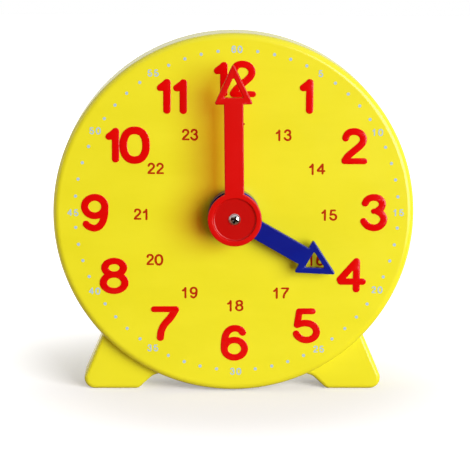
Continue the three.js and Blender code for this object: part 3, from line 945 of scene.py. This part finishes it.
@dataclass
class Prints(SubAssembly):
    """Small red hours from 13, pale minute numbers from 60, 5 and 10, and minute dots, on the dial."""

    film: float = 0.03
    root: float = 0.12
    hours: Sequence[Point] = (
        (13.53, 21.99), (22.82, 12.6), (26.37, -0.2), (22.76, -12.89), (13.23, -22.21), (0.42, -25.82),
        (-12.19, -22.1), (-21.94, -12.82), (-25.42, -0.1), (-21.63, 12.65), (-12.17, 22.04), (0.52, 25.58),
    )
    hour_lettering: Lettering = Lettering((0.292, 0.32), 0.3, "thin 1", 0.035)
    hour_advance: float = 2.42
    minutes: Sequence[Point] = (
        (0.53, 45.59), (23.63, 39.03), (39.43, 22.9), (45.62, 0.55), (39.99, -21.24), (23.96, -38.16),
        (0.75, -44.53), (-22.4, -37.83), (-38.55, -21.67), (-44.4, 0.36), (-38.23, 23.11), (-22.29, 39.02),
    )
    minute_lettering: Lettering = Lettering((0.165, 0.2), 0.175, "thin 1", 0.03)
    minute_advance: float = 1.75
    dot_radius: float = 0.45
    dot_ring: float = 44.74
    dot_centre: Point = (0.83, 0.62)
    dot_lead: Sequence[float] = (
        0, 0.97, 0.96, 0.88, 0.99, 0, 0.8, 0.75, 0.6, 0.66, 0, 0.03, 0.21, 0.26, 0.38,
        0, -0.38, -0.26, -0.21, -0.03, 0, -0.66, -0.6, -0.75, -0.8, 0, -0.99, -0.88, -0.96, -0.97,
    )

    def dots(self) -> Outline:
        """Places of the minute dots, which the print sets a little off an even ring."""
        turns = (6 * minute + self.dot_lead[minute % 30] for minute in range(60) if minute % 5)
        return moved((polar(self.dot_ring, turn) for turn in turns), self.dot_centre)

    def build(self) -> None:
        """Build the prints and dress them."""
        circle = [polar(self.dot_radius, -turn) for turn in range(0, 360, 20)]
        hours, minutes, dots = [], [], [moved(circle, place) for place in self.dots()]
        for index, (hour, minute) in enumerate(zip(self.hours, self.minutes)):
            hours += self.hour_lettering.words(str(index + 13), hour, self.hour_advance)
            minutes += self.minute_lettering.words(str(5 * index or 60), minute, self.minute_advance)
        for outlines, name, ink, slot in (
            (hours, "afternoon_hours", RED_INK, "minute_red"),
            (minutes, "minute_numbers", PALE_INK, "hour_blue"),
            (dots, "minute_dots", PALE_INK, "hour_blue"),
        ):
            self.keep(slab(outlines, -self.film, self.root), name, ink, slot)


@dataclass(frozen=True)
class Arrow:
    """Arm with an arrow head and a three-cornered window in it, pointing to twelve."""

    length: float
    head_length: float
    arm_width: float = 5.3
    head_width: float = 10.6
    border: float = 1.7
    sill: float = 1.85
    corner: float = 0.45
    window_corner: float = 0.3

    def outlines(self) -> list[Outline]:
        """Draw the arrow.

        Returns:
            The arm's outline and its window's.
        """
        base, half, edge = self.length - self.head_length, self.head_width / 2, self.arm_width / 2
        slope = math.hypot(half, self.head_length) / half
        tip = self.length + self.corner * (slope - 1)
        side = [(edge, 0, 0), (edge, base, 0), (half, base, self.corner)]
        arm = [*side, (0, tip, self.corner), *((-x, z, radius) for x, z, radius in reversed(side))]
        sill, peak = base + self.sill, tip - self.border * slope
        wide = half * (peak - sill) / (tip - base)
        window = [(x, z, self.window_corner) for x, z in ((wide, sill), (0, peak), (-wide, sill))]
        return [rounded(arm), rounded(window)]


@dataclass
class MinuteHand(SubAssembly):
    """The red hand with its dished hub."""

    body: str = "minute_train"
    turn: float = -0.85
    thickness: float = 2.0
    fillet: float = 0.3
    hub_radius: float = 7.4
    hub_rear_radius: float = 6.9
    rear_fillet: float = 0.2
    dish_radius: float = 5.9
    dish_depth: float = 0.6
    dish_fillet: float = 0.5
    dish_lip: float = 0.15
    screw_bore: float = 1.0
    web: float = 1.3
    socket: Point = (2.6, 2.0)
    steps: int = 144
    arrow: Arrow = Arrow(42.15, 10.7)

    def build(self) -> None:
        """Build the hand and dress it."""
        front, rear = depths("minute_hand")
        floor, mouth = front + self.dish_depth, self.dish_radius + self.dish_lip
        edge = arc(self.hub_radius - self.fillet, front + self.fillet, self.fillet, -90, 0)
        foot = arc(self.hub_rear_radius - self.rear_fillet, rear - self.rear_fillet, self.rear_fillet, 0, 90, 3)
        form = lathe([(0, front), *edge, *foot, (0, rear)], self.steps)
        form.join(slab(self.arrow.outlines(), front, front + self.thickness, self.fillet))
        lip = arc(mouth, front + self.dish_lip, self.dish_lip, 180, 270)
        bowl = arc(self.dish_radius - self.dish_fillet, floor - self.dish_fillet, self.dish_fillet, 90, 0, 10)
        form.cut(lathe([(0, floor), *bowl, *lip, (mouth, front - 1), (0, front - 1)], self.steps))
        form.cut(rod(self.screw_bore, front, rear), flatted(self.socket, floor + self.web, rear + 1))
        self.keep(form.turn(self.turn), "red_minute_hand", RED, "minute_red", "minute_hand")


@dataclass
class HourHand(SubAssembly):
    """The blue hand, whose hub hides under the red one."""

    body: str = "hour_train"
    turn: float = 119.8
    thickness: float = 2.0
    fillet: float = 0.3
    hub_radius: float = 7.2
    bore: float = 3.95
    arrow: Arrow = Arrow(32.05, 9.9)

    def build(self) -> None:
        """Build the hand and dress it."""
        front, rear = depths("hour_hand")
        form = rod(self.hub_radius, front, rear, steps=96)
        form.join(slab(self.arrow.outlines(), front, front + self.thickness, self.fillet))
        form.cut(rod(self.bore, front - 1, rear + 1, steps=96))
        self.keep(form.turn(self.turn), "blue_hour_hand", BLUE, "hour_blue", "hour_hand")


@dataclass
class CrossScrew:
    """Pan-head screw with a cross recess. It points to the dial's front, or to the rear with pointing -1."""

    node: str
    turn: float
    shank: float = 1.15
    head: float = 2.3
    height: float = SCREW_HEAD
    pointing: int = 1
    slot: float = 0.36
    reach_share: float = 0.66
    depth_share: float = 0.8
    recess_taper: float = 0.5
    crown_share: float = 0.62
    edge: float = 0.06
    tip: Point = (0.12, 1.2)
    thread_depth: float = 0.16
    thread_root: float = 0.12
    thread_ends: Point = (0.5, 1.4)
    pitch: float = 0.8

    def form(self) -> Form:
        """Build the screw at its node's place.

        Returns:
            The form.
        """
        front, rear = depths(self.node)
        length = rear - front - self.height
        crown, core = self.height * self.crown_share, self.shank - self.thread_depth
        shoulder = crown - self.height
        dome = [
            ((self.head - 2 * self.edge) * math.sin(a), shoulder - crown * math.cos(a))
            for a in np.radians(np.linspace(0, 90, 15))
        ]
        rim = [(self.head, shoulder + 0.1), (self.head, -self.edge), (self.head - self.edge, 0)]
        shank = [(core, 0), (core, length - self.tip[1] * core), (self.tip[0], length), (0, length)]
        form = lathe([(radius, -depth * self.pointing) for radius, depth in dome + rim + shank], 48)
        form.join(self.thread(core, length))
        reach, inner = self.head * self.reach_share, 1.5 * self.slot
        arm = [(-self.slot, inner), (-self.slot, reach), (self.slot, reach), (self.slot, inner)]
        quarters = ((1, 0), (0, 1), (-1, 0), (0, -1))
        cross = [(x * c + z * s, z * c - x * s) for c, s in quarters for x, z in arm]
        ends = ((self.height + 0.3, 1), (self.height * (1 - self.depth_share), self.recess_taper))
        form.cut(loft([[(x * share, depth * self.pointing, z * share) for x, z in cross] for depth, share in ends]))
        seat = rear - self.height if self.pointing > 0 else front + self.height
        return form.turn(self.turn, middle(self.node), seat)

    def thread(self, core: float, length: float) -> Form:
        """Ridge that winds round the shank.

        Args:
            core: radius of the shank under the ridge.
            length: length of the shank.

        Returns:
            The form.
        """
        steps, (start, end) = 20, self.thread_ends
        count = int((length - end - start) / self.pitch * steps)
        root, half = core - self.thread_root, self.pitch * 0.28
        rows = []
        for step in range(count + 1):
            depth = start + self.pitch * step / steps
            rise = self.thread_depth * min(1, step / steps, (count - step) / steps + 0.05)
            ridge = ((root, depth - half), (core + rise, depth), (root, depth + half))
            places = ((*polar(radius, 360 * step / steps), -y * self.pointing) for radius, y in ridge)
            rows.append([(x, y, z) for x, z, y in places])
        return loft(rows)


@dataclass
class CaseScrews(SubAssembly):
    """Six zinc-plated screws that hold the cover."""

    turns: Sequence[float] = (12, 57, 31, 80, 44, 5)

    def build(self) -> None:
        """Build the screws and dress them."""
        for node, turn in zip(CASE_SCREWS, self.turns):
            self.keep(CrossScrew(node, turn).form(), f"zinc_{node}", ZINC, "zinc_steel", node)


@dataclass
class HubScrews(SubAssembly):
    """The screw in the red hub and the one in the knob."""

    body: str = "minute_train"

    def build(self) -> None:
        """Build both screws and dress them."""
        screw = CrossScrew("hand_screw", 20, 0.9, 1.6, 1.2, -1, slot=0.347826, reach_share=0.8)
        self.keep(screw.form(), "bright_hand_screw", CHROME, "screw_chrome", "hand_screw")
        screw = CrossScrew("knob_screw", 33)
        self.keep(screw.form(), "zinc_knob_screw", ZINC, "zinc_steel", "knob_screw")


@dataclass
class SettingKnob(SubAssembly):
    """The fluted knob behind the clock. Its dish goes down in steps, as (inset, depth)."""

    body: str = "minute_train"
    radius: float = 11.0
    flutes: int = 18
    flute_depth: float = 0.6
    fillet: float = 0.9
    front_fillet: float = 0.4
    well: float = 2.8
    dish_radius: float = 7.6
    dish: Sequence[Point] = ((0, 0), (0.5, 0.2), (0.9, 0.35), (1.3, 0.5))
    socket: Point = (2.6, 2.0)
    web: float = 1.2
    turn: float = -0.85

    def ripple(self, radius: float, turn: float) -> float:
        """Radius of the fluted side at a turn."""
        share = max(0.0, (radius - self.dish_radius) / (self.radius - self.dish_radius))
        return radius - share * self.flute_depth * (1 + math.cos(math.radians(turn * self.flutes))) / 2

    def build(self) -> None:
        """Build the knob and dress it."""
        front, rear = depths("setting_knob")
        seat = depths("knob_screw")[1] - SCREW_HEAD
        side = arc(self.radius - self.front_fillet, front + self.front_fillet, self.front_fillet, -90, 0, 4)
        side += arc(self.radius - self.fillet, rear - self.fillet, self.fillet, 0, 90, 8)
        dish = [(self.dish_radius - inset, rear - depth) for inset, depth in self.dish]
        profile = [(0, front), *side, *dish, (0, dish[-1][1])]
        form = lathe(profile, self.flutes * 12, ripple=self.ripple)
        form.cut(rod(self.well, seat, rear + 1), rod(SCREW_HOLE, front, rear))
        form.cut(flatted(self.socket, front - 1, seat - self.web))
        self.keep(form.turn(self.turn), "fluted_knob", YELLOW, "case_yellow", "setting_knob")


@dataclass
class Movement:
    """Gears, arbor, pin and washer, which keep the model's own forms."""

    white: Sequence[str] = ("centre_arbor", "minute_pinion", "intermediate_gear", "hour_wheel")

    def build(self) -> None:
        """Dress the model's own pieces."""
        finishes = {**dict.fromkeys(self.white, WHITE), "idler_pin": ZINC, "friction_washer": SPRING}
        for node, finish in finishes.items():
            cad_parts[node].material_slots[0].material = finish.made()
            log.info("%s: dressed as %s", node, finish.name)


# The studio


@dataclass
class Studio:
    """Pale floor, soft lamps, pale surroundings, and the camera, from a fit to the photograph."""

    floor_side: float = 1.6
    floor_front: float = -0.1
    floor_colours: tuple[Colour, Colour] = ((0.7,) * 3, (0.72,) * 3)
    floor_bounce: Colour = (0.42, 0.3, 0.22)
    floor_glow: Point = (0.3, 1.0)
    glow_reach: Point = (0.03, 0.12)
    behind: tuple[Colour, Colour] = ((0.6,) * 3, (0.55,) * 3)
    front: tuple[Colour, Colour] = ((0.16, 0.045, 0.015), (0.25,) * 3)
    white: Colour = (1.0,) * 3
    camera_place: Triple = (-0.01508027, -0.58892298, 0.09310266)
    camera_turns: Triple = (80.469826, -0.34517, -1.442052)
    lens: float = 165.171064

    def build(self) -> None:
        """Set up the studio."""
        self.floor()
        self.surroundings()
        self.lamp("key_softbox", 1.5, (37, 8), (1.2, 1.05), 31.0)
        self.lamp("left_fill", 1.4, (-86, 6), (0.9, 1.4), 4.0)
        self.camera()
        bpy.context.scene.view_settings.view_transform = "Standard"

    def floor(self) -> None:
        """A pale floor that shows the clock's shadow near it and turns white further off."""
        side, front = self.floor_side, self.floor_front
        mesh = bpy.data.meshes.new("floor")
        mesh.from_pydata([(-side, front, 0), (side, front, 0), (side, side, 0), (-side, side, 0)], [], [range(4)])
        bench = Bench(bpy.data.materials.new("pale_floor"))
        far = bench.node("VectorMath", {0: bench.place()}, operation="LENGTH")["Value"].ramp(*self.glow_reach)
        behind = bench.node("SeparateXYZ", {0: bench.place()})["Y"].ramp(-0.03, 0.03)
        seen, mirrored, through = self.rays(bench, "Camera", "Glossy", "Transmission")
        colour = bench.mix(seen, self.floor_bounce, bench.mix(bench.noise(2.0, 3), *self.floor_colours))
        matt = bench.node("BsdfDiffuse", {"Color": colour, "Roughness": 0.8})
        low, high = self.floor_glow
        glow = (seen + (mirrored + through) * behind) * (low + (high - low) * far)
        light = bench.node("Emission", {"Color": self.white, "Strength": glow})
        unseen = self.rays(bench, "Shadow")[0] * (1 - behind)
        sockets = {0: unseen, 1: bench.node("AddShader", {0: matt, 1: light}), 2: bench.node("BsdfTransparent")}
        mesh.materials.append(bench.surface(bench.node("MixShader", sockets)))
        floor = placed("floor", mesh)

    def rays(self, bench: Bench, *kinds: str) -> list[Signal]:
        """Signals that are 1 for what such rays meet: straight, in a reflection or through a clear piece."""
        return [bench.node("LightPath")[f"Is {kind} Ray"] for kind in kinds]

    def surroundings(self) -> None:
        """White behind the clock and above it, and dim in front."""
        world = bpy.data.worlds.new("studio")
        bpy.context.scene.world = world
        bench = Bench(world)
        way = bench.node("SeparateXYZ", {0: bench.node("TexCoord")["Generated"]})
        behind, above = way["Y"].ramp(-0.28, 0.08), way["Z"].ramp(0.2, 0.9)
        seen, mirrored, through = self.rays(bench, "Camera", "Glossy", "Transmission")
        dull = bench.mix(behind, bench.mix(above, *self.front), bench.mix(above, *self.behind))
        bright = bench.mix(behind, bench.mix(above, self.front[0], self.white), self.white)
        light = bench.mix(seen + through, bench.mix(mirrored, dull, bright), self.white)
        bench.surface(bench.node("Background", {"Color": light}))

    def lamp(self, name: str, distance: float, turns: Point, size: Point, power: float) -> None:
        """A soft lamp that faces the middle of the dial.

        Args:
            name: the lamp's name.
            distance: its distance from the dial in metres.
            turns: degrees to the right of straight in front and above the dial's middle.
            size: its width and height in metres.
            power: its power in watts.
        """
        light = bpy.data.lights.new(name, "AREA")
        light.shape, light.energy = "RECTANGLE", power
        light.size, light.size_y = size
        turn, rise = (math.radians(value) for value in turns)
        away = Vector((math.sin(turn) * math.cos(rise), -math.cos(turn) * math.cos(rise), math.sin(rise)))
        lamp = placed(name, light)
        lamp.location = CENTRE * MM + away * distance
        lamp.rotation_euler = (-away).to_track_quat("-Z", "Y").to_euler()

    def camera(self) -> None:
        """The photograph's camera."""
        data = bpy.data.cameras.new("camera")
        data.lens, data.clip_start = self.lens, 0.01
        camera = placed("camera", data)
        camera.location = CENTRE * MM + Vector(self.camera_place)
        camera.rotation_euler = [math.radians(value) for value in self.camera_turns]
        bpy.context.scene.camera = camera


def main() -> None:
    """Build the clock and the studio, in order."""
    logging.basicConfig(level=logging.INFO, format="%(message)s")
    clock = (Housing, RearCover, RaisedNumerals, Prints, MinuteHand, HourHand, CaseScrews, HubScrews, SettingKnob)
    for part in (*clock, Movement, Studio):
        part().build()


if __name__ == "__main__":
    main()
